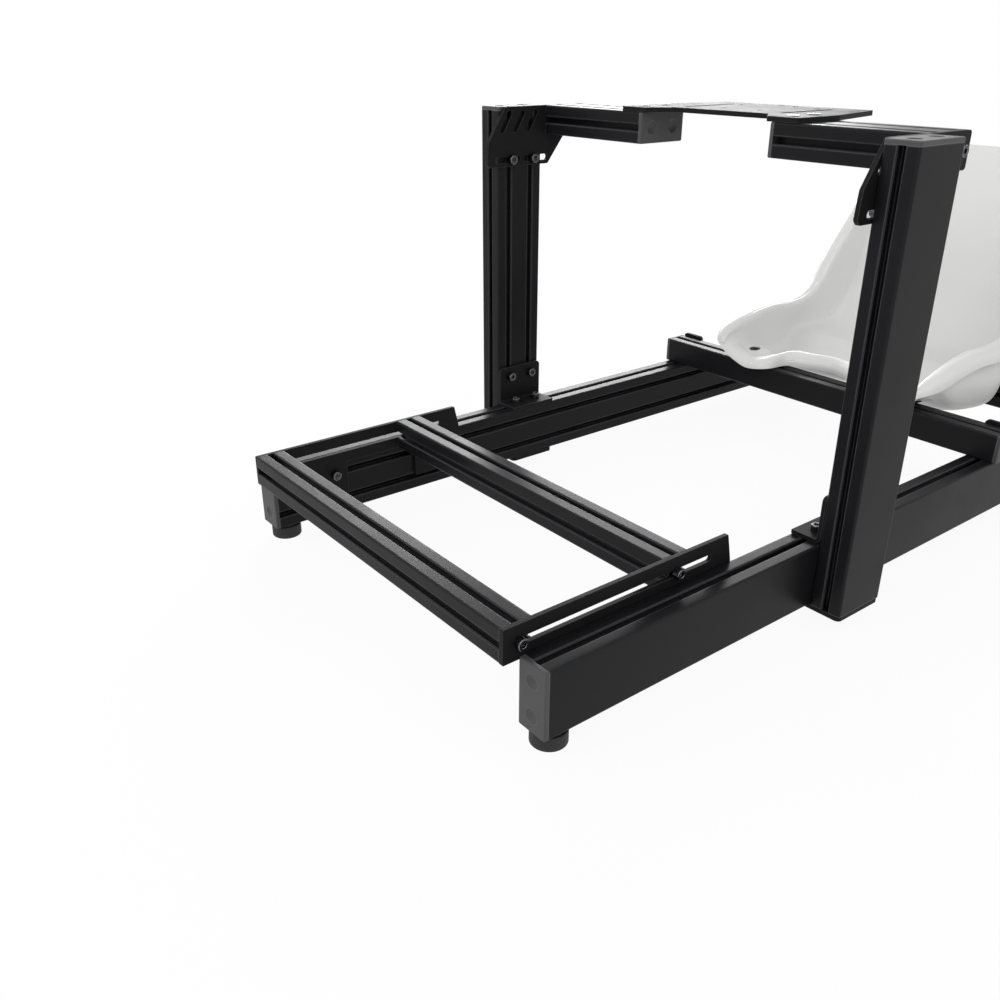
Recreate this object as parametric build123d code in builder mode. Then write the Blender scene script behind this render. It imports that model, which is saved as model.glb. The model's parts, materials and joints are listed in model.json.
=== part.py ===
import os

from build123d import *

# Sim racing cockpit: an open frame of slotted aluminium profile with a shell seat.
# Frame: X across the rig, Y from the pedal end to the seat end, Z up from the floor, in mm.

os.makedirs("parts", exist_ok=True)

# The slotted profile, 40 mm module with 8 mm slots
MODULE = 40
SLOT_OPEN = 8.2
MOUTH_EDGE = 1.2
SLOT_LIP = 4.5
SLOT_INNER = 20
SLOT_STEP = 7.5
SLOT_FLOOR = 11
SLOT_DEPTH = 12.2
PROFILE_EDGE = 2.5
CLOSED_WEB = 2.2
CORE_HOLE = 6.8
CORE_CHAMBER = 15
CORE_NARROW = 9

# Plastic end caps
CAP_T = 5
CAP_EDGE = 1.5
DIMPLE_D = 18
DIMPLE_DEPTH = 3

# Overall layout
RIG_WIDTH = 610
RIG_LENGTH = 1250
FOOT_H = 20
RAIL_H = 2 * MODULE
PLATE_T = 5
RAIL_BOTTOM = FOOT_H
RAIL_TOP = FOOT_H + RAIL_H
RAIL_OUT = RIG_WIDTH / 2
RAIL_IN = RAIL_OUT - MODULE
RAIL_MID = RAIL_OUT - MODULE / 2

# Rubber feet
FOOT_D = 40
FOOT_NECK_D = 34
FOOT_NECK_H = 3
FOOT_SETBACK = 23
FOOT_EDGE = 2

# Uprights that carry the wheel
UPRIGHT_Y = 416
UPRIGHT_TOP = 545
BASE_PLATE_T = 6
BASE_PLATE_R = 6
BRACKET_LEG = 60
BRACKET_BEND = 8
BRACKET_CORNER = 6
BRACKET_HOLE_Z = 45
M8_CLEAR = 8.6

# Wheel stubs
STUB_Y = 500
STUB_END = 104
STUB_TOP = UPRIGHT_TOP
STUB_BOTTOM = STUB_TOP - MODULE

# Gusset plates, measured from the upright's front face and the stubs' underside
GUSSET_NOSE = 24
GUSSET_NOSE_LEAN = 3
GUSSET_NOSE_DROP = 7
GUSSET_TOP_BACK = 9
GUSSET_DROP = 41
GUSSET_CHAMFER = 5
GUSSET_FOOT = 89
GUSSET_STEP = 32
GUSSET_CLEAR = 1
GUSSET_CORNER = 4
LOW_SLOT_L = 46
LOW_SLOT_RISE = 9.5
LOW_SLOT_PITCH = 52
SLANT_SLOT_L = 34
SLANT_SLOT_TURN = 58
SLANT_SLOT_START = 10
SLANT_SLOT_PITCH = 24
SLANT_SLOTS = 3

# Wheel plate
WHEEL_PLATE_T = 6
WHEEL_CORNER = 4
WHEEL_EAR_IN = 98
WHEEL_EAR_OUT = 143
WHEEL_MID = 74
WHEEL_MID_Y = 533
WHEEL_SIDE_Y = 578
WHEEL_REAR = 684
WHEEL_REAR_HALF = 118
WHEEL_SLOT_X = 78
WHEEL_SLOT_L = 100
WHEEL_SLOT_BACK = 31
EAR_HOLE_X = 120
WHEEL_HOLES = [(29, 110), (61, 36), (12, 14)]

# Pedal deck
DECK_FRONT = -20
DECK_BOTTOM = RAIL_TOP - PLATE_T
DECK_TOP = DECK_BOTTOM + MODULE
DECK_BAR_2 = 197
DECK_REAR_TOP = 298
DECK_REAR_LOW = 306
DECK_SLOT_REAR = 272
TAB_W = 80
TAB_1 = 32
TAB_2 = DECK_REAR_LOW - TAB_W
TAB_BOTTOM = 44
DECK_CORNER = 1.5

# The origin lies on the floor, halfway between the deck's front and the rails' rear end
ORIGIN_Y = (DECK_FRONT + RIG_LENGTH) / 2

# Seat cross bars and the brackets at their ends
SEAT_BAR_FRONT = 809
SEAT_BAR_REAR = 1036
SEAT_BRACKET_LEG = 45

# Shell seat
SEAT_T = 4
SEAT_GAP = 0.3
SEAT_BASE = RAIL_TOP + MODULE + SEAT_GAP
SEAT_HALF = 179
SEAT_MID = [(0.26, 0.1), (0.46, 0.75)]
LOBE_AT = 0.66
SEAT_WALL = [(0.84, 0.08), (0.94, 0.3), (0.99, 0.7)]
RIM_ROLL = [(1, -5), (11, 0), (22, -14)]
SEAT_FIT = 3.0
VENT_X = 148
VENT_Y = 853
VENT_L = 24
VENT_W = 14


def slot_outline(lip):
    """T slot seen from its mouth at the origin, depth along -Y; a lip of None closes the mouth."""
    half_open = SLOT_OPEN / 2
    half_in = SLOT_INNER / 2
    half_floor = SLOT_FLOOR / 2
    start = CLOSED_WEB if lip is None else lip
    hollow = [
        (-half_in, -start),
        (-half_in, -SLOT_STEP),
        (-half_floor, -SLOT_DEPTH),
        (half_floor, -SLOT_DEPTH),
        (half_in, -SLOT_STEP),
        (half_in, -start),
    ]
    if lip is None:
        return hollow
    half_mouth = half_open + MOUTH_EDGE
    before = [(-half_mouth, 1), (-half_mouth, 0), (-half_open, -MOUTH_EDGE), (-half_open, -lip)]
    return before + hollow + [(-x, y) for x, y in reversed(before)]


def profile(plane, width, height, closed, length):
    """Profile bar: width by height on the plane; the side or sides named in closed have no slot mouth."""
    cells_x = round(width / MODULE)
    cells_y = round(height / MODULE)
    sides = []
    for i in range(cells_x):
        across = (i - (cells_x - 1) / 2) * MODULE
        sides.append((across, height / 2, 0, "top"))
        sides.append((across, -height / 2, 180, "bottom"))
    for i in range(cells_y):
        along = (i - (cells_y - 1) / 2) * MODULE
        sides.append((width / 2, along, -90, "right"))
        sides.append((-width / 2, along, 90, "left"))
    with BuildPart() as bar:
        with BuildSketch(plane):
            RectangleRounded(width, height, PROFILE_EDGE)
            for x, y, turn, side in sides:
                with BuildSketch(mode=Mode.PRIVATE) as mouth:
                    with BuildLine():
                        Polyline(*slot_outline(None if side in closed else SLOT_LIP), close=True)
                    make_face()
                add(mouth.sketch.moved(Location((x, y, 0), (0, 0, turn))), mode=Mode.SUBTRACT)
            with GridLocations(MODULE, MODULE, cells_x, cells_y):
                Circle(CORE_HOLE / 2, mode=Mode.SUBTRACT)
            if cells_x * cells_y > 1:
                Rectangle(
                    CORE_CHAMBER if cells_x > 1 else CORE_NARROW,
                    CORE_CHAMBER if cells_y > 1 else CORE_NARROW,
                    mode=Mode.SUBTRACT,
                )
        extrude(amount=length)
    return bar.part


def cap(plane, width, height, cells_x, cells_y):
    """End cap on the plane: rounded outer edge and one dished dimple for each profile cell."""
    with BuildPart() as lid:
        with BuildSketch(plane):
            RectangleRounded(width, height, PROFILE_EDGE)
        extrude(amount=CAP_T)
        fillet(lid.faces().sort_by(Axis(plane.origin, plane.z_dir))[-1].edges(), CAP_EDGE)
        top = Plane(plane.origin + plane.z_dir * CAP_T, x_dir=plane.x_dir, z_dir=plane.z_dir)
        radius = (DIMPLE_D ** 2 / 4 + DIMPLE_DEPTH ** 2) / (2 * DIMPLE_DEPTH)
        with Locations(top):
            with GridLocations(MODULE, MODULE, cells_x, cells_y):
                with Locations((0, 0, radius - DIMPLE_DEPTH)):
                    Sphere(radius, mode=Mode.SUBTRACT)
    return lid.part


def plate(plane, points, thickness, round_r=0.0, slots=()):
    """Flat plate: outline points on the plane, corners rounded, slots as (x, y, length, width, turn)."""
    with BuildPart() as sheet:
        with BuildSketch(plane) as drawn:
            with BuildLine():
                Polyline(*points, close=True)
            make_face()
            if round_r:
                fillet(drawn.vertices(), round_r)
            for x, y, length, width, turn in slots:
                with Locations(Location((x, y), turn)):
                    if length > width:
                        SlotOverall(length, width, mode=Mode.SUBTRACT)
                    else:
                        Circle(width / 2, mode=Mode.SUBTRACT)
        extrude(amount=thickness)
    return sheet.part


def save(shape, name):
    """Moves a part from the rails' front end to the origin under the rig's middle and saves it."""
    placed = shape.moved(Location((0, -ORIGIN_Y, 0)))
    placed.label = name
    export_step(placed, f"parts/{name}.step")


def save_pair(shape, name):
    """Saves a left-hand part and its mirror image on the right."""
    save(shape, f"{name}_left")
    save(mirror(shape, about=Plane.YZ), f"{name}_right")


# Base rails: closed outer face, two slots on the inner face, one slot on top and one below
rail_len = RIG_LENGTH - 2 * CAP_T
rail_centre_z = RAIL_BOTTOM + MODULE
rail_plane = Plane((RAIL_MID, CAP_T + rail_len, rail_centre_z), x_dir=(1, 0, 0), z_dir=(0, -1, 0))
save_pair(profile(rail_plane, MODULE, RAIL_H, ["right"], rail_len), "rail")
front_end = Plane((RAIL_MID, CAP_T, rail_centre_z), x_dir=(1, 0, 0), z_dir=(0, -1, 0))
rear_end = Plane((RAIL_MID, RIG_LENGTH - CAP_T, rail_centre_z), x_dir=(-1, 0, 0), z_dir=(0, 1, 0))
save_pair(cap(front_end, MODULE, RAIL_H, 1, 2), "rail_cap_front")
save_pair(cap(rear_end, MODULE, RAIL_H, 1, 2), "rail_cap_rear")

# Feet under both ends of the rails
for end_y, end in ((FOOT_SETBACK, "front"), (RIG_LENGTH - FOOT_SETBACK, "rear")):
    with BuildPart() as foot:
        with BuildSketch(Plane((RAIL_MID, end_y, 0))):
            Circle(FOOT_D / 2)
        extrude(amount=FOOT_H - FOOT_NECK_H)
        fillet(foot.edges().group_by(Axis.Z)[0], FOOT_EDGE)
        fillet(foot.edges().group_by(Axis.Z)[-1], FOOT_EDGE / 2)
        with BuildSketch(Plane((RAIL_MID, end_y, FOOT_H - FOOT_NECK_H))):
            Circle(FOOT_NECK_D / 2)
        extrude(amount=FOOT_NECK_H)
    save_pair(foot.part, f"foot_{end}")

# Uprights: outer face closed, two slots inside, one on each narrow face, with a cap on top
upright_len = UPRIGHT_TOP - CAP_T - RAIL_BOTTOM
upright_x = RAIL_OUT + MODULE / 2
upright_mid_y = UPRIGHT_Y + MODULE
upright_foot = Plane((upright_x, upright_mid_y, RAIL_BOTTOM))
upright_head = Plane((upright_x, upright_mid_y, UPRIGHT_TOP - CAP_T))
save_pair(profile(upright_foot, MODULE, RAIL_H, ["right"], upright_len), "upright")
save_pair(cap(upright_head, MODULE, RAIL_H, 1, 2), "upright_cap")

# Joining plate under the rail and the upright
with BuildPart() as base:
    with BuildSketch(Plane((RAIL_OUT, upright_mid_y, RAIL_BOTTOM - BASE_PLATE_T))):
        RectangleRounded(2 * MODULE, 2 * MODULE, BASE_PLATE_R)
        with GridLocations(MODULE, MODULE, 2, 2):
            Circle(M8_CLEAR / 2, mode=Mode.SUBTRACT)
    extrude(amount=BASE_PLATE_T)
save_pair(base.part, "base_plate")


def angle_bracket(plane, width, leg_out, leg_up, out_hole, up_hole):
    """Bent plate in the corner at the plane's origin: legs along its X and Y, width along its Z."""
    with BuildPart() as bent:
        with BuildSketch(plane) as drawn:
            with BuildLine():
                Polyline(
                    (0, 0),
                    (leg_out, 0),
                    (leg_out, PLATE_T),
                    (PLATE_T, PLATE_T),
                    (PLATE_T, leg_up),
                    (0, leg_up),
                    close=True,
                )
            make_face()
            fillet(drawn.vertices().sort_by_distance((0, 0))[0], BRACKET_BEND)
            fillet(drawn.vertices().sort_by_distance((PLATE_T, PLATE_T))[0], BRACKET_BEND - PLATE_T)
        extrude(amount=width)
        ends = bent.edges().filter_by(Axis(plane.origin, plane.x_dir))
        fillet(ends.group_by(Axis(plane.origin, plane.y_dir))[-1], BRACKET_CORNER)
        holes = round(width / MODULE)
        for i in range(holes):
            across = (i + 0.5) * width / holes
            up = plane.origin + plane.y_dir * up_hole + plane.z_dir * across
            out = plane.origin + plane.x_dir * out_hole + plane.z_dir * across
            with Locations(Plane(up, z_dir=plane.x_dir), Plane(out, z_dir=plane.y_dir)):
                Cylinder(M8_CLEAR / 2, 4 * PLATE_T, mode=Mode.SUBTRACT)
    return bent.part


# Bent angle brackets between the rails' tops and the uprights' inner faces
angle_corner = Plane((RAIL_OUT, UPRIGHT_Y, RAIL_TOP), x_dir=(-1, 0, 0), z_dir=(0, 1, 0))
angle = angle_bracket(angle_corner, 2 * MODULE, MODULE, BRACKET_LEG, MODULE / 2, BRACKET_HOLE_Z)
save_pair(angle, "angle_bracket")

# Gusset plates on the uprights' inner faces
gusset_front = UPRIGHT_Y - GUSSET_NOSE
gusset_bottom = STUB_BOTTOM - GUSSET_DROP
gusset_foot = UPRIGHT_Y + GUSSET_FOOT
gusset_outline = [
    (UPRIGHT_Y + GUSSET_TOP_BACK, STUB_TOP),
    (gusset_front + GUSSET_NOSE_LEAN, STUB_BOTTOM - GUSSET_NOSE_DROP),
    (gusset_front, gusset_bottom + GUSSET_CHAMFER),
    (gusset_front + GUSSET_CHAMFER, gusset_bottom),
    (gusset_foot, gusset_bottom),
    (gusset_foot + GUSSET_STEP, STUB_BOTTOM - GUSSET_CLEAR),
    (STUB_Y + RAIL_H, STUB_BOTTOM - GUSSET_CLEAR),
    (STUB_Y + RAIL_H, STUB_TOP),
]
stub_mid_y = STUB_Y + MODULE
stub_mid_z = STUB_BOTTOM + MODULE / 2
gusset_slots = []
for side in (-1, 1):
    low_slot_y = upright_mid_y + side * LOW_SLOT_PITCH / 2
    gusset_slots.append((low_slot_y, gusset_bottom + LOW_SLOT_RISE, LOW_SLOT_L, M8_CLEAR, 0))
for i in range(SLANT_SLOTS):
    slant_y = UPRIGHT_Y + SLANT_SLOT_START + i * SLANT_SLOT_PITCH
    gusset_slots.append((slant_y, stub_mid_z, SLANT_SLOT_L, M8_CLEAR, SLANT_SLOT_TURN))
for side in (-1, 1):
    gusset_slots.append((stub_mid_y + side * MODULE / 2, stub_mid_z, M8_CLEAR, M8_CLEAR, 0))
gusset_plane = Plane((RAIL_OUT - PLATE_T, 0, 0), x_dir=(0, 1, 0), z_dir=(1, 0, 0))
save_pair(plate(gusset_plane, gusset_outline, PLATE_T, GUSSET_CORNER, gusset_slots), "gusset")

# Stubs with slots all round, and their end caps
stub_len = RAIL_OUT - PLATE_T - STUB_END - CAP_T
stub_plane = Plane((RAIL_OUT - PLATE_T, stub_mid_y, stub_mid_z), x_dir=(0, -1, 0), z_dir=(-1, 0, 0))
save_pair(profile(stub_plane, RAIL_H, MODULE, [], stub_len), "stub")
stub_end = Plane((STUB_END + CAP_T, stub_mid_y, stub_mid_z), x_dir=(0, -1, 0), z_dir=(-1, 0, 0))
save_pair(cap(stub_end, RAIL_H, MODULE, 2, 1), "stub_cap")

# Wheel plate over the two stubs
half = [
    (WHEEL_MID, WHEEL_MID_Y),
    (WHEEL_EAR_IN, STUB_Y),
    (WHEEL_EAR_OUT, STUB_Y),
    (WHEEL_EAR_OUT, WHEEL_SIDE_Y),
    (WHEEL_REAR_HALF, WHEEL_REAR),
]
wheel_outline = half + [(-x, y) for x, y in reversed(half)]
wheel_slots = []
for side in (-1, 1):
    long_y = WHEEL_REAR - WHEEL_SLOT_BACK - WHEEL_SLOT_L / 2
    wheel_slots.append((side * WHEEL_SLOT_X, long_y, WHEEL_SLOT_L, M8_CLEAR, 90))
    for step in (-1, 1):
        wheel_slots.append((side * EAR_HOLE_X, stub_mid_y + step * MODULE / 2, M8_CLEAR, M8_CLEAR, 0))
    for hole_x, from_rear in WHEEL_HOLES:
        wheel_slots.append((side * hole_x, WHEEL_REAR - from_rear, M8_CLEAR, M8_CLEAR, 0))
wheel_top = Plane((0, 0, STUB_TOP))
save(plate(wheel_top, wheel_outline, WHEEL_PLATE_T, WHEEL_CORNER, wheel_slots), "wheel_plate")

# Pedal deck: two side plates with tabs that bolt to the rails, and two cross bars
deck_outline = [
    (DECK_FRONT, DECK_BOTTOM),
    (TAB_1, DECK_BOTTOM),
    (TAB_1, TAB_BOTTOM),
    (TAB_1 + TAB_W, TAB_BOTTOM),
    (TAB_1 + TAB_W, DECK_BOTTOM),
    (TAB_2, DECK_BOTTOM),
    (TAB_2, TAB_BOTTOM),
    (DECK_REAR_LOW, TAB_BOTTOM),
    (DECK_REAR_LOW, RAIL_TOP),
    (DECK_REAR_TOP, DECK_TOP),
    (DECK_FRONT, DECK_TOP),
]
deck_mid = DECK_BOTTOM + MODULE / 2
slot_front = DECK_FRONT + MODULE / 2 - M8_CLEAR / 2
deck_slots = [((slot_front + DECK_SLOT_REAR) / 2, deck_mid, DECK_SLOT_REAR - slot_front, M8_CLEAR, 0)]
for tab in (TAB_1, TAB_2):
    for step in (1, 3):
        deck_slots.append((tab + step * TAB_W / 4, RAIL_TOP - MODULE / 2, M8_CLEAR, M8_CLEAR, 0))
deck_plane = Plane((RAIL_IN - PLATE_T, 0, 0), x_dir=(0, 1, 0), z_dir=(1, 0, 0))
save_pair(plate(deck_plane, deck_outline, PLATE_T, DECK_CORNER, deck_slots), "deck_side")
deck_bar_len = 2 * (RAIL_IN - PLATE_T)
for bar_y, name in ((DECK_FRONT, "deck_bar_front"), (DECK_BAR_2, "deck_bar_rear")):
    bar_plane = Plane((-deck_bar_len / 2, bar_y + MODULE / 2, deck_mid), x_dir=(0, 1, 0), z_dir=(1, 0, 0))
    save(profile(bar_plane, MODULE, MODULE, [], deck_bar_len), name)

# Seat cross bars lying on the rails: closed side outwards, capped, a bracket behind each end
bar_len = RIG_WIDTH
bar_mid_z = RAIL_TOP + MODULE / 2
for bar_y, name, facing in ((SEAT_BAR_FRONT, "front", 1), (SEAT_BAR_REAR, "rear", -1)):
    mid_y = bar_y + MODULE / 2
    bar_plane = Plane((-bar_len / 2, mid_y, bar_mid_z), x_dir=(0, facing, 0), z_dir=(1, 0, 0))
    save(profile(bar_plane, MODULE, MODULE, ["left"], bar_len), f"seat_bar_{name}")
    bar_end = Plane((bar_len / 2, mid_y, bar_mid_z), x_dir=(0, 1, 0), z_dir=(1, 0, 0))
    save_pair(cap(bar_end, MODULE, MODULE, 1, 1), f"seat_bar_{name}_cap")
    corner_x = RAIL_IN if facing > 0 else RAIL_OUT
    corner_y = mid_y + facing * MODULE / 2
    corner = Plane((corner_x, corner_y, RAIL_TOP), x_dir=(0, facing, 0), z_dir=(facing, 0, 0))
    bracket = angle_bracket(
        corner, MODULE, SEAT_BRACKET_LEG, SEAT_BRACKET_LEG, PLATE_T + MODULE / 2, MODULE / 2
    )
    save_pair(bracket, f"seat_bar_{name}_bracket")

# Shell seat: one surface through stations from the front lip to the top of the back, thickened.
# Each station: middle y and z, thigh hollow y and z, rim y and z, rim half width less than the full one.
seat_stations = [
    (848, 150, 797, 136, 808, 156, 12),
    (852, 160, 804, 146.5, 815, 172, 4),
    (864, 164, 820, 148.2, 832, 186, 0),
    (885, 161, 850, 143.8, 858, 194, 0),
    (925, 146, 895, SEAT_BASE + 1, 896, 200, 0),
    (1000, SEAT_BASE + 1, 990, SEAT_BASE + 1, 960, 203, 0),
    (1060, SEAT_BASE + 3, 1058, SEAT_BASE + 3, 1025, 207, 0),
    (1112, 150, 1109, 150, 1066, 231, 0),
    (1157, 192, 1154, 192, 1094, 268, 0),
    (1187, 262, 1184, 262, 1128, 312, 0),
    (1210, 345, 1208, 345, 1168, 364, 2),
    (1230, 425, 1229, 425, 1206, 430, 8),
    (1242, 467, 1241, 466, 1230, 460, 18),
]


def seat_station(mid_y, mid_z, lobe_y, lobe_z, rim_y, rim_z, narrow):
    """One row of points across the seat, right half first, then mirrored to the left."""
    half_w = SEAT_HALF - narrow
    right = [(0, mid_y, mid_z)]
    for across, share in SEAT_MID:
        right.append((half_w * across, mid_y + (lobe_y - mid_y) * share, mid_z + (lobe_z - mid_z) * share))
    right.append((half_w * LOBE_AT, lobe_y, lobe_z))
    for across, share in SEAT_WALL:
        right.append((half_w * across, lobe_y + (rim_y - lobe_y) * share, lobe_z + (rim_z - lobe_z) * share))
    for out, down in RIM_ROLL:
        right.append((half_w + out, rim_y, rim_z + down))
    left = [(-x, y, z) for x, y, z in reversed(right[1:])]
    return [Vector(*p) for p in left + right]


seat_rows = [seat_station(*station) for station in seat_stations]
seat_face = Face.make_surface_from_array_of_points(seat_rows, tol=SEAT_FIT, max_deg=3)
with BuildPart() as seat:
    thicken(seat_face, amount=-SEAT_T)
    with Locations((0, SEAT_BAR_FRONT + MODULE / 2, bar_mid_z)):
        Box(bar_len, MODULE + 2 * SEAT_GAP, MODULE + 2 * SEAT_GAP, mode=Mode.SUBTRACT)
    for side in (-1, 1):
        with BuildSketch(Plane((side * VENT_X, VENT_Y, SEAT_BASE))):
            Ellipse(VENT_L / 2, VENT_W / 2)
        extrude(amount=MODULE, mode=Mode.SUBTRACT)
save(seat.part, "seat_shell")
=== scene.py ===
# %% [markdown]
# # Sim racing cockpit
# Finishes for the slotted bars, plates, caps and feet, the screws, and the moulded shell seat.

import json
import math

import bmesh
import bpy
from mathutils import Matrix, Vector


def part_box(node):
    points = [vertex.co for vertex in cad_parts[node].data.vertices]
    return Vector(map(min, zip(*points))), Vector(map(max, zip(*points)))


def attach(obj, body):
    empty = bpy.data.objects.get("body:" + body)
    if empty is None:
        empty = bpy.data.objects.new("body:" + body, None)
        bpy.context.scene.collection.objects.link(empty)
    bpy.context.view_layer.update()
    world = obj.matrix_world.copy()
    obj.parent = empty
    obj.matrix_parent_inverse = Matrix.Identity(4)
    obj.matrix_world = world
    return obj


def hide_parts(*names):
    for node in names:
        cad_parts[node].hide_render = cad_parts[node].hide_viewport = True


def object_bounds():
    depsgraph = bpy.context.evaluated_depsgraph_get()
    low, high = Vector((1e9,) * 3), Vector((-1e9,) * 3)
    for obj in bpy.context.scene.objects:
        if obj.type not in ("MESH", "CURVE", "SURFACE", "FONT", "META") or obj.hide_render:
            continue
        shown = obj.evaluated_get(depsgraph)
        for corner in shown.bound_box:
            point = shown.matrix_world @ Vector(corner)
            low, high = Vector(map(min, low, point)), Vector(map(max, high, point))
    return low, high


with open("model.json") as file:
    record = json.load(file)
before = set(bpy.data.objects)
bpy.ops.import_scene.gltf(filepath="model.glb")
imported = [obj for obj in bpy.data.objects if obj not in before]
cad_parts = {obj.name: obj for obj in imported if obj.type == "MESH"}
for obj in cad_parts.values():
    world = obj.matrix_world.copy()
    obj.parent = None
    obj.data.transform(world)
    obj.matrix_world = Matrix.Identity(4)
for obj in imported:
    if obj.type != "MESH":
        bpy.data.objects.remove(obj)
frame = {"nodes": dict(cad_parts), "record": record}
nodes = frame["nodes"]
cad_low, cad_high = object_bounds()
MM = 0.001
MODULE = 40 * MM
PLATE_T = 5 * MM
SIDES = {"left": 1, "right": -1}
UP = Vector((0.0, 0.0, 1.0))
print("frame:", len(nodes), "nodes")

# %% [markdown]
# ## Small helpers
# Colours are written as sRGB hex. Every texture uses object coordinates, in metres.

# %% Colours and shader nodes
# Most of a noise's values lie in this range
NOISE_LOW = 0.3
NOISE_HIGH = 0.7
# Cosines between the true and the rounded normal, where the painted edge highlight starts and
# where it is full
HIGHLIGHT_STARTS = 0.998
HIGHLIGHT_FULL = 0.93


def paint(code):
    """Linear colour of an sRGB hex code."""
    channels = [int(code[i : i + 2], 16) / 255 for i in (1, 3, 5)]
    linear = [c / 12.92 if c <= 0.04045 else ((c + 0.055) / 1.055) ** 2.4 for c in channels]
    return linear + [1.0]


def add_node(tree, kind, *values, options=None, **named):
    """Adds a node: values go to its inputs in order or by name, and a socket is linked."""
    node = tree.nodes.new(kind)
    for name, value in (options or {}).items():
        setattr(node, name, value)
    filled = list(enumerate(values))
    filled += [(name.replace("_", " "), value) for name, value in named.items()]
    for key, value in filled:
        if isinstance(value, bpy.types.NodeSocket):
            tree.links.new(value, node.inputs[key])
        elif value is not None:
            node.inputs[key].default_value = value
    return node


def new_material(name):
    """A material with a Principled shader: (material, tree, shader, object coordinates)."""
    material = bpy.data.materials.new(name)
    material.use_nodes = True
    tree = material.node_tree
    tree.nodes.clear()
    shader = add_node(tree, "ShaderNodeBsdfPrincipled")
    add_node(tree, "ShaderNodeOutputMaterial", Surface=shader.outputs[0])
    place = add_node(tree, "ShaderNodeTexCoord").outputs["Object"]
    return material, tree, shader, place


def noise(tree, place, size, detail, stretch=(1.0, 1.0, 1.0)):
    """Noise with spots of that size in mm, drawn out along an axis where its factor is small."""
    spread = add_node(tree, "ShaderNodeMapping", Vector=place, Scale=stretch).outputs[0]
    scale = 1 / (size * MM)
    return add_node(
        tree, "ShaderNodeTexNoise", Vector=spread, Scale=scale, Detail=detail
    ).outputs[0]


def between(tree, value, low, high, new_low, new_high):
    """The value's range from low to high, stretched to the new range."""
    return add_node(tree, "ShaderNodeMapRange", value, low, high, new_low, new_high).outputs[0]


def uneven(tree, pattern, low, high):
    """A noise's usual range, stretched to the one from low to high."""
    return between(tree, pattern, NOISE_LOW, NOISE_HIGH, low, high)


def mix_colour(tree, factor, first, second):
    """First colour where the factor is 0, second where it is 1."""
    node = add_node(tree, "ShaderNodeMix", factor, options={"data_type": "RGBA"})
    for key, value in ((6, first), (7, second)):
        if isinstance(value, bpy.types.NodeSocket):
            tree.links.new(value, node.inputs[key])
        else:
            node.inputs[key].default_value = value
    return node.outputs[2]


def bump(tree, height, strength, distance, normal=None):
    """Bump from a height, added on the normal below it."""
    node = add_node(
        tree, "ShaderNodeBump", Strength=strength, Distance=distance, Height=height, Normal=normal
    )
    return node.outputs[0]


def rounded_edges(tree, radius):
    """(normal rounded at edges, mask for the painted edge highlight, near 1 on edges)."""
    rounded = add_node(tree, "ShaderNodeBevel", radius, options={"samples": 6}).outputs[0]
    true_normal = add_node(tree, "ShaderNodeNewGeometry").outputs["Normal"]
    dot = add_node(
        tree, "ShaderNodeVectorMath", rounded, true_normal, options={"operation": "DOT_PRODUCT"}
    )
    return rounded, between(tree, dot.outputs["Value"], HIGHLIGHT_STARTS, HIGHLIGHT_FULL, 0.0, 1.0)


print("helpers ready")

# %% [markdown]
# ## Materials
# One function for each real material. Edges are a little lighter: a painted highlight.

# %% Materials
# Sizes of the patterns' spots, in mm. On a real part die lines, grain, print and scratches are
# finer than this; they are drawn as coarse as it takes to show them.
DIE_LINE = 0.6667
MATT_GRAIN = 0.3125
ORANGE_PEEL = 1.111
MOULD_GRAIN = 0.4545
RUBBER_GRAIN = 0.8333
FIBRE_PRINT = 2.381
OXIDE_SCRATCH = 0.5556
SHELL_WAVE = 62.5
PROFILE_CLOUD = 71.43
COAT_CLOUD = 50.0
CAP_CLOUD = 25.0
SHELL_CLOUD = 200.0
DIE_LINE_STRETCH = 0.01
# Radii of the edges, and how high dust reaches on a foot
PROFILE_ROUND = 2.2 * MM
EDGE_ROUND = 0.8 * MM
SCREW_ROUND = 0.5 * MM
DUST_H = 5 * MM
DUST_SHARE = 0.5


def anodised_aluminium(axis):
    """Black anodised extrusion: die lines along the bar, faint matt grain, painted highlights on
    the edges.
    """
    material, tree, shader, place = new_material(f"black_anodised_aluminium_{axis}")
    stretch = [1.0, 1.0, 1.0]
    stretch["xyz".index(axis)] = DIE_LINE_STRETCH
    lines = noise(tree, place, DIE_LINE, 3.0, stretch)
    grain = noise(tree, place, MATT_GRAIN, 1.0)
    clouds = noise(tree, place, PROFILE_CLOUD, 4.0)
    normal, highlight_mask = rounded_edges(tree, PROFILE_ROUND)
    tone = mix_colour(tree, clouds, paint("#141416"), paint("#1a1a1c"))
    # Painted highlight: edges lighter than the faces
    highlighted = mix_colour(tree, highlight_mask, tone, paint("#525255"))
    normal = bump(tree, lines, 0.1, 0.05 * MM, normal)
    normal = bump(tree, grain, 0.08, 0.03 * MM, normal)
    tree.links.new(highlighted, shader.inputs["Base Color"])
    tree.links.new(uneven(tree, clouds, 0.34, 0.42), shader.inputs["Roughness"])
    tree.links.new(normal, shader.inputs["Normal"])
    # The dyed layer mirrors little head on and much at a grazing angle
    shader.inputs["Specular IOR Level"].default_value = 0.1
    return material


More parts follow.
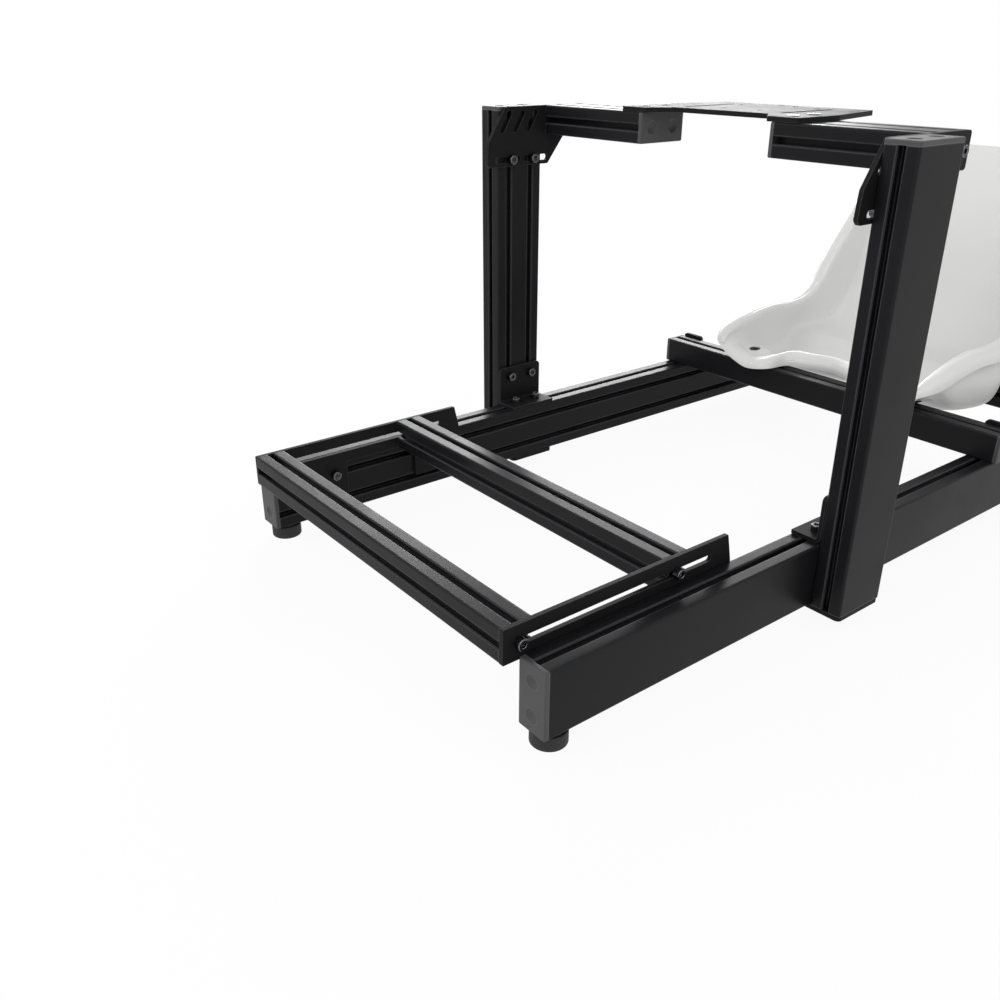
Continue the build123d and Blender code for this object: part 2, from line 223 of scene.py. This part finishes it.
def powder_coated_steel():
    """Black powder coat: orange-peel bump, a slightly uneven satin and painted highlights on the
    edges.
    """
    material, tree, shader, place = new_material("black_powder_coated_steel")
    peel = noise(tree, place, ORANGE_PEEL, 2.0)
    clouds = noise(tree, place, COAT_CLOUD, 3.0)
    normal, highlight_mask = rounded_edges(tree, EDGE_ROUND)
    tone = mix_colour(tree, clouds, paint("#151516"), paint("#1c1c1d"))
    # Painted highlight: edges lighter than the faces
    highlighted = mix_colour(tree, highlight_mask, tone, paint("#525255"))
    tree.links.new(highlighted, shader.inputs["Base Color"])
    tree.links.new(uneven(tree, clouds, 0.5, 0.58), shader.inputs["Roughness"])
    tree.links.new(bump(tree, peel, 0.16, 0.08 * MM, normal), shader.inputs["Normal"])
    shader.inputs["Specular IOR Level"].default_value = 0.09
    return material


def cap_plastic():
    """Dark grey moulded nylon with an eroded mould texture and pale painted highlights on the
    edges.
    """
    material, tree, shader, place = new_material("grey_moulded_nylon")
    texture = noise(tree, place, MOULD_GRAIN, 2.0)
    clouds = noise(tree, place, CAP_CLOUD, 2.0)
    normal, highlight_mask = rounded_edges(tree, EDGE_ROUND)
    tone = mix_colour(tree, clouds, paint("#383839"), paint("#404041"))
    # Painted highlight: edges lighter than the faces
    highlighted = mix_colour(tree, highlight_mask, tone, paint("#7c7c7f"))
    tree.links.new(highlighted, shader.inputs["Base Color"])
    tree.links.new(uneven(tree, texture, 0.5, 0.62), shader.inputs["Roughness"])
    tree.links.new(bump(tree, texture, 0.2, 0.06 * MM, normal), shader.inputs["Normal"])
    return material


def foot_rubber():
    """Black moulded rubber, dusty towards the floor."""
    material, tree, shader, place = new_material("black_rubber")
    texture = noise(tree, place, RUBBER_GRAIN, 3.0)
    height = add_node(tree, "ShaderNodeSeparateXYZ", place).outputs["Z"]
    dust = between(tree, height, DUST_H, 0.0, 0.0, DUST_SHARE)
    tone = mix_colour(tree, dust, paint("#19191a"), paint("#3a3937"))
    tree.links.new(tone, shader.inputs["Base Color"])
    tree.links.new(uneven(tree, texture, 0.62, 0.8), shader.inputs["Roughness"])
    tree.links.new(bump(tree, texture, 0.25, 0.1 * MM), shader.inputs["Normal"])
    return material


def seat_plastic():
    """White moulded shell: gloss gelcoat with a slow waviness and a faint fibre print."""
    material, tree, shader, place = new_material("white_moulded_plastic")
    waves = noise(tree, place, SHELL_WAVE, 2.0)
    fibres = noise(tree, place, FIBRE_PRINT, 4.0)
    clouds = noise(tree, place, SHELL_CLOUD, 3.0)
    tone = mix_colour(tree, clouds, paint("#e4e4e3"), paint("#ebebea"))
    normal = bump(tree, waves, 0.12, 1.5 * MM)
    tree.links.new(tone, shader.inputs["Base Color"])
    tree.links.new(uneven(tree, fibres, 0.3, 0.4), shader.inputs["Roughness"])
    tree.links.new(bump(tree, fibres, 0.06, 0.06 * MM, normal), shader.inputs["Normal"])
    return material


def blackened_steel():
    """Black oxide on screws, with a painted highlight on the rims."""
    material, tree, shader, place = new_material("black_oxide_steel")
    scratches = noise(tree, place, OXIDE_SCRATCH, 2.0)
    normal, highlight_mask = rounded_edges(tree, SCREW_ROUND)
    # Painted highlight: rims much lighter than the head
    tone = mix_colour(tree, highlight_mask, paint("#454548"), paint("#b8b8bb"))
    tree.links.new(tone, shader.inputs["Base Color"])
    tree.links.new(uneven(tree, scratches, 0.24, 0.36), shader.inputs["Roughness"])
    tree.links.new(normal, shader.inputs["Normal"])
    shader.inputs["Metallic"].default_value = 1.0
    return material


def longest_axis(name):
    """The letter of the axis along which a node is longest."""
    low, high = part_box(name)
    spans = high - low
    return "xyz"[max(range(3), key=lambda i: spans[i])]


profile_finish = {axis: anodised_aluminium(axis) for axis in "xyz"}
finishes = {
    "plate_steel": powder_coated_steel(),
    "cap_plastic": cap_plastic(),
    "rubber": foot_rubber(),
    "seat_plastic": seat_plastic(),
}
screw_finish = blackened_steel()
for subpart in frame["record"]["subparts"]:
    name = subpart["node"]
    finish = finishes.get(subpart["material_slot"]) or profile_finish[longest_axis(name)]
    nodes[name].data.materials.clear()
    nodes[name].data.materials.append(finish)
print("finished", len(nodes), "nodes")

# %% [markdown]
# ## Screws
# Socket head cap screws, M8: one head mesh, set on points by Geometry Nodes and made real.

# %% Screw head
HEAD_R = 6.5 * MM
HEAD_H = 8 * MM
LOW_HEAD_R = 8 * MM
LOW_HEAD_H = 1.2 * MM
HEAD_CHAMFER = 0.6 * MM
KNURL_DEPTH = 0.15 * MM
SOCKET_FLAT = 3 * MM
SOCKET_RING = 1.3 * SOCKET_FLAT
SOCKET_DEPTH = 4 * MM
# A low head's socket goes no deeper than this share of its height
SOCKET_SHARE = 0.6
HEAD_STEPS = 48


def hexagon_radius(angle, flat):
    """Distance from the middle to a hexagon's side at that angle; flat is half its width."""
    return flat / math.cos((angle % (math.pi / 3)) - math.pi / 6)


def screw_head(name, radius, height):
    """Knurled head standing on z 0, with a hexagon socket in its top."""
    mesh = bmesh.new()
    rings = []
    # radius, or None on the hexagon; z; knurled
    levels = [
        (radius, 0.0, True),
        (radius, height - HEAD_CHAMFER, True),
        (radius - HEAD_CHAMFER, height, False),
        (SOCKET_RING, height, False),
        (None, height - HEAD_CHAMFER / 3, False),
        (None, height - min(SOCKET_DEPTH, height * SOCKET_SHARE), False),
    ]
    for ring_r, z, knurled in levels:
        ring = []
        for i in range(HEAD_STEPS):
            angle = math.tau * i / HEAD_STEPS
            r = hexagon_radius(angle, SOCKET_FLAT) if ring_r is None else ring_r
            if knurled and i % 2:
                r -= KNURL_DEPTH
            ring.append(mesh.verts.new((r * math.cos(angle), r * math.sin(angle), z)))
        rings.append(ring)
    for lower, upper in zip(rings, rings[1:]):
        for i in range(HEAD_STEPS):
            j = (i + 1) % HEAD_STEPS
            mesh.faces.new((lower[i], lower[j], upper[j], upper[i]))
    mesh.faces.new(rings[-1])
    mesh.faces.new(list(reversed(rings[0])))
    data = bpy.data.meshes.new(name)
    mesh.to_mesh(data)
    mesh.free()
    return bpy.data.objects.new(name, data)


# %% Parts on points
def put_in_scene(piece):
    """Links an object to the scene."""
    bpy.context.scene.collection.objects.link(piece)


def apply_modifiers(piece):
    """Replaces the piece's mesh by its evaluated one."""
    evaluated = piece.evaluated_get(bpy.context.evaluated_depsgraph_get())
    made = bpy.data.meshes.new_from_object(evaluated)
    piece.modifiers.clear()
    piece.data = made


def scatter_group():
    """Node group: sets the Part on each point along its axis attribute, turned by chance."""
    group = bpy.data.node_groups.new("parts_on_points", "GeometryNodeTree")
    group.interface.new_socket(
        "Geometry", in_out="OUTPUT", socket_type="NodeSocketGeometry"
    )
    for label, kind in (
        ("Geometry", "NodeSocketGeometry"),
        ("Part", "NodeSocketObject"),
        ("Size", "NodeSocketFloat"),
        ("Seed", "NodeSocketInt"),
        ("Material", "NodeSocketMaterial"),
    ):
        group.interface.new_socket(label, in_out="INPUT", socket_type=kind)
    given = add_node(group, "NodeGroupInput").outputs
    axis = add_node(
        group, "GeometryNodeInputNamedAttribute", "axis", options={"data_type": "FLOAT_VECTOR"}
    )
    upright = add_node(group, "FunctionNodeAlignRotationToVector", Vector=axis.outputs[0])
    chance = add_node(
        group, "FunctionNodeRandomValue", Seed=given["Seed"], options={"data_type": "FLOAT"}
    )
    chance.inputs[3].default_value = math.tau
    spin = add_node(group, "FunctionNodeAxisAngleToRotation", Angle=chance.outputs[1])
    turned = add_node(
        group,
        "FunctionNodeRotateRotation",
        upright.outputs[0],
        spin.outputs[0],
        options={"rotation_space": "LOCAL"},
    )
    part = add_node(group, "GeometryNodeObjectInfo", given["Part"])
    placed = add_node(
        group,
        "GeometryNodeInstanceOnPoints",
        Points=given["Geometry"],
        Instance=part.outputs["Geometry"],
        Rotation=turned.outputs[0],
        Scale=given["Size"],
    )
    real = add_node(group, "GeometryNodeRealizeInstances", placed.outputs[0])
    coloured = add_node(
        group, "GeometryNodeSetMaterial", Geometry=real.outputs[0], Material=given["Material"]
    )
    add_node(group, "NodeGroupOutput", coloured.outputs[0])
    return group


def scatter(name, part, places, seed, material):
    """A piece of many parts: each place is (point, direction)."""
    data = bpy.data.meshes.new(name)
    data.from_pydata([tuple(point) for point, _ in places], [], [])
    axis = data.attributes.new("axis", "FLOAT_VECTOR", "POINT")
    for i, (_, direction) in enumerate(places):
        axis.data[i].vector = direction
    piece = bpy.data.objects.new(name, data)
    put_in_scene(piece)
    modifier = piece.modifiers.new("parts", "NODES")
    modifier.node_group = parts_on_points
    for label, value in (("Part", part), ("Size", 1.0), ("Seed", seed), ("Material", material)):
        modifier[parts_on_points.interface.items_tree[label].identifier] = value
    apply_modifiers(piece)
    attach(piece, "root")
    print(name, len(places), "parts,", len(piece.data.polygons), "faces")


parts_on_points = scatter_group()

# %% Screw places
# Heights above the gusset's lower edge and above the bracket's underside
GUSSET_SLOT_RISE = 9.5 * MM
BRACKET_HOLE_UP = 45 * MM
# The wheel plate's ear holes, from the rig's middle plane
EAR_HOLE_X = 120 * MM
# The deck's tabs: width, how far the first is from the deck's front, and holes along the width
TAB_W = 80 * MM
TAB_FRONT = 52 * MM
TAB_HOLES = (0.25, 0.75)


def mid(name):
    """Middle of a node's box."""
    low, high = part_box(name)
    return (low + high) / 2


def inner_x(name, sign):
    """The side of a node's box that faces the rig's middle."""
    low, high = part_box(name)
    return low.x if sign > 0 else high.x


def outer_x(name, sign):
    """The side of a node's box that faces away from the rig's middle."""
    low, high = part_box(name)
    return high.x if sign > 0 else low.x


def pair(centre):
    """Two points one module apart along Y, with the centre between them."""
    shift = Vector((0.0, MODULE / 2, 0.0))
    return [centre - shift, centre + shift]


def gusset_screws():
    """From inside into the upright and from outside into the stub, two each on a gusset."""
    places = []
    for side, sign in SIDES.items():
        gusset = f"gusset_{side}"
        stub = mid(f"stub_{side}")
        inward = Vector((-sign, 0.0, 0.0))
        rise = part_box(gusset)[0].z + GUSSET_SLOT_RISE
        low_slots = Vector((inner_x(gusset, sign), mid(f"upright_{side}").y, rise))
        stub_holes = Vector((outer_x(gusset, sign), stub.y, stub.z))
        places += [(spot, inward) for spot in pair(low_slots)]
        places += [(spot, -inward) for spot in pair(stub_holes)]
    return places


def bracket_screws():
    """Into the upright and down into the rail, two each on an angle bracket."""
    places = []
    for side, sign in SIDES.items():
        bracket = f"angle_bracket_{side}"
        upright = mid(f"upright_{side}")
        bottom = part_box(bracket)[0].z
        wall_x = outer_x(bracket, sign) - sign * PLATE_T
        wall_holes = Vector((wall_x, upright.y, bottom + BRACKET_HOLE_UP))
        foot_holes = Vector((mid(f"rail_{side}").x, upright.y, bottom + PLATE_T))
        places += [(spot, Vector((-sign, 0.0, 0.0))) for spot in pair(wall_holes)]
        places += [(spot, UP) for spot in pair(foot_holes)]
    return places


def base_plate_screws():
    """Up into the rail and into the upright, two each through a joining plate."""
    places = []
    for side in SIDES:
        upright = mid(f"upright_{side}")
        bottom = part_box(f"base_plate_{side}")[0].z
        for x in (mid(f"rail_{side}").x, upright.x):
            places += [(spot, -UP) for spot in pair(Vector((x, upright.y, bottom)))]
    return places


def deck_screws():
    """From outside into each deck bar's end, and from inside through each tab into the rail."""
    places = []
    for side, sign in SIDES.items():
        plate = f"deck_side_{side}"
        low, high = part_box(plate)
        inward = Vector((-sign, 0.0, 0.0))
        for end in ("front", "rear"):
            bar = mid(f"deck_bar_{end}")
            places.append((Vector((outer_x(plate, sign), bar.y, bar.z)), -inward))
        tab_z = mid(f"rail_{side}").z + MODULE / 2
        for tab_y in (low.y + TAB_FRONT, high.y - TAB_W):
            for share in TAB_HOLES:
                spot = Vector((inner_x(plate, sign), tab_y + share * TAB_W, tab_z))
                places.append((spot, inward))
    return places


def seat_bar_screws():
    """Into the bar's side and down into the rail, one each on a seat bar's bracket."""
    places = []
    for side in SIDES:
        rail_x = mid(f"rail_{side}").x
        for end, toward in (("front", 1), ("rear", -1)):
            bar = mid(f"seat_bar_{end}")
            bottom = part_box(f"seat_bar_{end}_bracket_{side}")[0].z
            face_y = bar.y + toward * (MODULE / 2 + PLATE_T)
            foot_y = face_y + toward * MODULE / 2
            places.append((Vector((rail_x, face_y, bar.z)), Vector((0.0, toward, 0.0))))
            places.append((Vector((rail_x, foot_y, bottom + PLATE_T)), UP))
    return places


def wheel_plate_screws():
    """Down into each stub, two through each ear of the wheel plate."""
    places = []
    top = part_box("wheel_plate")[1].z
    for side, sign in SIDES.items():
        ear = Vector((sign * EAR_HOLE_X, mid(f"stub_{side}").y, top))
        places += [(spot, UP) for spot in pair(ear)]
    return places


# %% Screws
cap_head = screw_head("cap_screw_head", HEAD_R, HEAD_H)
low_head = screw_head("low_screw_head", LOW_HEAD_R, LOW_HEAD_H)
for name, head, places, seed in (
    ("gusset_screws", cap_head, gusset_screws(), 3),
    ("bracket_screws", cap_head, bracket_screws(), 5),
    ("base_plate_screws", low_head, base_plate_screws(), 7),
    ("deck_screws", cap_head, deck_screws(), 11),
    ("seat_bar_screws", cap_head, seat_bar_screws(), 13),
    ("wheel_plate_screws", low_head, wheel_plate_screws(), 17),
):
    scatter(name, head, places, seed, screw_finish)

# %% [markdown]
# ## Seat
# The shell's surface goes through stations from the front lip to the top of the back. It gets
# its thickness, its rolled rim and the two drain holes.

# %% Seat stations
# Along the rig, the seat's measures start at the rails' front end, as on the drawing
DRAWING_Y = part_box("rail_cap_front_left")[0].y
SEAT_BAR_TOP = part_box("seat_bar_front")[1].z
SEAT_HALF = 179
LOBE_AT = 0.66
STEPS_ACROSS = 6
STEPS_ALONG = 7
# middle y and z, thigh hollow y and z, rim y and z, how much narrower, in mm; then how far the
# rim rolls outwards and how soft the wall's foot is, as shares; then the hips' bulge in mm
SEAT_STATIONS = [
    (866, 143, 797, 135, 802, 163, 2, 0.15, 1.0, 7),
    (866, 150, 799, 141, 808, 174, 0, 0.5, 0.8, 6),
    (870, 157, 808, 147, 822, 184, 0, 0.85, 0.5, 3),
    (878, 160, 828, 146, 845, 191.5, 0, 1, 0.25, 0),
    (892, 147, 866, 142, 870, 197, 0, 1, 0, 6),
    (909, 118, 902, 119, 902, 202, 0, 1, 0, 14),
    (960, 109, 952, 109, 938, 205, 0, 1, 0, 18),
    (1004, 111, 1002, 111, 978, 203, 0, 1, 0, 23),
    (1031, 139.8, 1031, 139.8, 1012, 206, 0, 1, 0, 20),
    (1060, 143, 1058, 143, 1040, 214, 0, 1, 0, 12),
    (1112, 150, 1109, 150, 1066, 231, 0, 1, 0, 3),
    (1157, 190, 1154, 190, 1092, 266, 0, 1, 0, 0),
    (1187, 262, 1184, 262, 1126, 310, 0, 1, 0, 0),
    (1210, 345, 1208, 345, 1168, 362, 2, 1, 0, 0),
    (1230, 425, 1229, 425, 1206, 430, 8, 1, 0, 0),
    (1242, 467, 1241, 466, 1230, 460, 18, 1, 0, 0),
]
# across as a share of the half width, then the share of the way to the thigh hollow in y and z
SEAT_INNER = [(0.26, 0.22, 0.02), (0.40, 0.44, 0.02), (0.48, 0.97, 0.35)]
# across, then the share of the way up for a hard and for a soft wall, then of the bulge
SEAT_WALL = [
    (0.80, 0.0, 0.2, 0.3),
    (0.90, 0.02, 0.48, 0.8),
    (0.985, 0.14, 0.82, 1.0),
    (1.01, 0.45, 0.95, 0.75),
]
# outwards from the half width and up from the rim's top, in mm
RIM_ROLL = [(0, -5), (4, -1), (10, 0), (16, -2), (20, -7), (22, -16)]


def station_points(mid_y, mid_z, lobe_y, lobe_z, rim_y, rim_z, narrow, roll, soft, hip):
    """One row of points across the shell's underside, right edge to left edge."""
    half_w = SEAT_HALF - narrow
    half = [(0, mid_y, mid_z)]
    for across, share_y, share_z in SEAT_INNER:
        y = mid_y + (lobe_y - mid_y) * share_y
        z = mid_z + (lobe_z - mid_z) * share_z
        half.append((half_w * across, y, z))
    half.append((half_w * LOBE_AT, lobe_y, lobe_z))
    for across, hard, easy, bulge in SEAT_WALL:
        share = hard + (easy - hard) * soft
        y = lobe_y + (rim_y - lobe_y) * share
        z = lobe_z + (rim_z - lobe_z) * share
        half.append((half_w * across + hip * bulge, y, z))
    half += [(half_w + out * roll, rim_y, rim_z + down * roll) for out, down in RIM_ROLL]
    row = [(-x, y, z) for x, y, z in reversed(half[1:])] + half
    return [Vector((x * MM, y * MM + DRAWING_Y, z * MM)) for x, y, z in row]


def smooth_line(points, steps):
    """Points on a smooth curve through the given ones, so many to each span."""
    ends = [points[0] * 2 - points[1]] + list(points) + [points[-1] * 2 - points[-2]]
    line = []
    for a, b, c, d in zip(ends, ends[1:], ends[2:], ends[3:]):
        square = 2 * a - 5 * b + 4 * c - d
        cube = 3 * b - a - 3 * c + d
        for i in range(steps):
            t = i / steps
            line.append(0.5 * (2 * b + (c - a) * t + square * t**2 + cube * t**3))
    return line + [points[-1].copy()]


def grid_mesh(name, rows):
    """A smooth-shaded mesh of quads over rows of points."""
    width = len(rows[0])
    faces = []
    for r in range(len(rows) - 1):
        for c in range(width - 1):
            at = r * width + c
            faces.append((at, at + 1, at + width + 1, at + width))
    data = bpy.data.meshes.new(name)
    data.from_pydata([tuple(p) for row in rows for p in row], [], faces)
    data.shade_smooth()
    return data


# %% Drain holes
# The left hole's middle on the shell's top; VENT_CUT is the cutting column's lower and upper end
VENT = Vector((148 * MM, 853 * MM + DRAWING_Y, 150 * MM))
VENT_R = 9.6 * MM
VENT_STEPS = 48
VENT_CUT = (SEAT_BAR_TOP - 9.5 * MM, SEAT_BAR_TOP + 60.5 * MM)
# The pocket round a hole: half its size across and along, its floor under the shell, the height
# up to which it draws points in, its slope along the rig, and how wide its flat part is
POCKET_HALF = (34 * MM, 26 * MM)
POCKET_FLOOR = VENT.z - 3 * MM
POCKET_REACH = VENT.z + 40 * MM
POCKET_TILT = 0.16
POCKET_PULL = 1.6


def press_pocket(point):
    """Draws a point near a drain hole towards the hole's flat, sloping pocket."""
    side = 1 if point.x > 0 else -1
    out_x = (point.x - side * VENT.x) / POCKET_HALF[0]
    out_y = (point.y - VENT.y) / POCKET_HALF[1]
    near = 1 - out_x**2 - out_y**2
    if near > 0 and point.z < POCKET_REACH:
        share = near**2 * (3 - 2 * near)
        flat = POCKET_FLOOR + (point.y - VENT.y) * POCKET_TILT
        point.z += (flat - point.z) * min(1.0, POCKET_PULL * share)


def vent_cutter(spot):
    """An upright round column for cutting a drain hole."""
    low, high = VENT_CUT
    mesh = bmesh.new()
    bmesh.ops.create_cone(
        mesh,
        cap_ends=True,
        segments=VENT_STEPS,
        radius1=VENT_R,
        radius2=VENT_R,
        depth=high - low,
    )
    data = bpy.data.meshes.new("vent_cutter")
    mesh.to_mesh(data)
    mesh.free()
    cutter = bpy.data.objects.new("vent_cutter", data)
    cutter.location = (spot.x, spot.y, (low + high) / 2)
    put_in_scene(cutter)
    return cutter


vents = [Vector((sign * VENT.x, VENT.y, VENT.z)) for sign in SIDES.values()]

# %% Seat shell
SEAT_T = 4 * MM
SEAT_EDGE = 1.2 * MM
SEAT_EDGE_ANGLE = math.radians(50)

across_rows = [smooth_line(station_points(*row), STEPS_ACROSS) for row in SEAT_STATIONS]
lengthwise = [smooth_line(list(column), STEPS_ALONG) for column in zip(*across_rows)]
seat_rows = [list(row) for row in zip(*lengthwise)]
for row in seat_rows:
    for point in row:
        press_pocket(point)
seat = bpy.data.objects.new("shell_seat", grid_mesh("shell_seat", seat_rows))
put_in_scene(seat)
thickness = seat.modifiers.new("thickness", "SOLIDIFY")
thickness.thickness = SEAT_T
thickness.offset = 1.0
cutters = [vent_cutter(spot) for spot in vents]
for cutter in cutters:
    hole = seat.modifiers.new("vent", "BOOLEAN")
    hole.operation = "DIFFERENCE"
    hole.object = cutter
apply_modifiers(seat)
for cutter in cutters:
    bpy.data.objects.remove(cutter)
rounding = seat.modifiers.new("rounding", "BEVEL")
rounding.width = SEAT_EDGE
rounding.segments = 2
rounding.limit_method = "ANGLE"
rounding.angle_limit = SEAT_EDGE_ANGLE
apply_modifiers(seat)
seat.data.materials.clear()
seat.data.materials.append(finishes["seat_plastic"])
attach(seat, "root")
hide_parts("seat_shell")
print("seat:", len(seat.data.polygons), "faces")

# %% [markdown]
# Black rubber pads lie between the shell and its front bar; on each, a black rubber disc fills
# the drain hole above it as painted shade for the hole. One flush plug sits in each side wall.

# %% Seat pads, painted hole shade and plugs
PAD_R = 15 * MM
PAD_H = 4 * MM
PAD_LOW = SEAT_BAR_TOP + 0.1 * MM
# The black disc in each drain hole is painted shade: its radius, lower end and top
HOLE_SHADE_FILL_R = 9 * MM
HOLE_SHADE_FILL_LOW = PAD_LOW + PAD_H
HOLE_SHADE_FILL_TOP = VENT.z + 0.7 * MM
PLUG_R = 8 * MM
PLUG_H = 1.6 * MM
PLUG_SUNK = 0.4 * MM
# Between the two wall plugs, in the seat's middle plane
PLUG_SPOT = Vector((0.0, 1110 * MM + DRAWING_Y, 168 * MM))


def wall_plug_places():
    """Where a level ray from the seat's middle plane strikes each side wall, facing inwards."""
    places = []
    for sign in SIDES.values():
        struck, spot, facing, _ = seat.ray_cast(PLUG_SPOT, Vector((sign, 0.0, 0.0)))
        if struck:
            facing = facing if facing.x * sign < 0 else -facing
            places.append((spot - facing * PLUG_SUNK, facing))
    return places


pad = screw_head("seat_pad", PAD_R, PAD_H)
# Black disc in each drain hole: painted shade for the hole
hole_shade_fill = screw_head("seat_stud", HOLE_SHADE_FILL_R, HOLE_SHADE_FILL_TOP - HOLE_SHADE_FILL_LOW)
plug = screw_head("wall_plug", PLUG_R, PLUG_H)
pad_places = [(Vector((spot.x, spot.y, PAD_LOW)), UP) for spot in vents]
hole_shade_fill_places = [(Vector((spot.x, spot.y, HOLE_SHADE_FILL_LOW)), UP) for spot in vents]
scatter("seat_pads", pad, pad_places, 19, finishes["rubber"])
scatter("seat_studs", hole_shade_fill, hole_shade_fill_places, 29, finishes["rubber"])
scatter("seat_wall_plugs", plug, wall_plug_places(), 23, finishes["seat_plastic"])

# %% [markdown]
# ## Stage
# Pale floor, white world, three soft lamps and the camera at the photograph's angle.

# %% Floor and world
FLOOR_SIZE = 60.0
# The floor as seen directly is this white near the object, and all white further off, in metres
FLOOR_WHITENESS = 0.93
FADE_START = 0.9
FADE_END = 2.4
WORLD_LIGHT = 0.62
WORLD_SEEN = 1.0


def greater(tree, first, second):
    """The greater of two values."""
    return add_node(
        tree, "ShaderNodeMath", first, second, options={"operation": "MAXIMUM"}
    ).outputs[0]


def seen_directly(tree):
    """1 for rays from the camera, from gloss and through glass, else 0."""
    path = add_node(tree, "ShaderNodeLightPath").outputs
    camera_or_gloss = greater(tree, path["Is Camera Ray"], path["Is Glossy Ray"])
    return greater(tree, camera_or_gloss, path["Is Transmission Ray"])


def floor_material():
    """Pale matt floor with the object's shadow; seen directly it runs out into white."""
    material = bpy.data.materials.new("pale_floor")
    material.use_nodes = True
    tree = material.node_tree
    tree.nodes.clear()
    matt = add_node(tree, "ShaderNodeBsdfDiffuse", Color=paint("#f2f2f2"))
    white = add_node(tree, "ShaderNodeEmission", Strength=1.0)
    place = add_node(tree, "ShaderNodeTexCoord").outputs["Object"]
    distance = add_node(tree, "ShaderNodeVectorMath", place, options={"operation": "LENGTH"})
    whiteness = between(
        tree, distance.outputs["Value"], FADE_START, FADE_END, FLOOR_WHITENESS, 1.0
    )
    share = between(tree, seen_directly(tree), 0, 1, 0.0, whiteness)
    both = add_node(tree, "ShaderNodeMixShader", share, matt.outputs[0], white.outputs[0])
    add_node(tree, "ShaderNodeOutputMaterial", Surface=both.outputs[0])
    return material


def white_world():
    """White behind everything, and a lower strength for the light that it gives."""
    world = bpy.data.worlds.new("white_studio")
    world.use_nodes = True
    tree = world.node_tree
    tree.nodes.clear()
    strength = between(tree, seen_directly(tree), 0, 1, WORLD_LIGHT, WORLD_SEEN)
    sky = add_node(tree, "ShaderNodeBackground", Color=paint("#ffffff"), Strength=strength)
    add_node(tree, "ShaderNodeOutputWorld", Surface=sky.outputs[0])
    return world


bpy.ops.mesh.primitive_plane_add(size=FLOOR_SIZE, location=(0.0, 0.0, cad_low.z))
floor = bpy.context.object
floor.name = "floor"
floor.data.materials.append(floor_material())
bpy.context.scene.world = white_world()

# %% Lamps and camera
# name, place, target, width and height in metres, watts
LAMPS = [
    ("key", (2.6, -0.4, 2.4), (0.0, 0.0, 0.2), 2.2, 2.2, 18.0),
    ("front", (-0.5, -2.7, 2.3), (0.0, 0.2, 0.25), 2.0, 2.0, 34.0),
    ("back", (-3.4, 2.6, 1.8), (0.0, 0.0, 0.3), 3.2, 0.9, 145.0),
]
CAMERA_PLACE = (0.86701, -1.10453, 0.63099)
CAMERA_PITCH = math.radians(64.67)
CAMERA_YAW = math.radians(52.21)
CAMERA_LENS = 35.01
CAMERA_SENSOR = 36.0


def soft_lamp(name, place, target, width, height, watts):
    """Area lamp aimed at a point."""
    data = bpy.data.lights.new(name, "AREA")
    data.shape = "RECTANGLE"
    data.size = width
    data.size_y = height
    data.energy = watts
    lamp = bpy.data.objects.new(name, data)
    lamp.location = place
    aim = Vector(target) - Vector(place)
    lamp.rotation_euler = aim.to_track_quat("-Z", "Y").to_euler()
    put_in_scene(lamp)


for lamp_settings in LAMPS:
    soft_lamp(*lamp_settings)
camera_data = bpy.data.cameras.new("camera")
camera_data.sensor_width = CAMERA_SENSOR
camera_data.lens = CAMERA_LENS
camera = bpy.data.objects.new("camera", camera_data)
camera.location = CAMERA_PLACE
camera.rotation_euler = (CAMERA_PITCH, 0.0, CAMERA_YAW)
put_in_scene(camera)
bpy.context.scene.camera = camera
bpy.context.scene.view_settings.view_transform = "Standard"
print("stage ready:", len(LAMPS), "lamps")
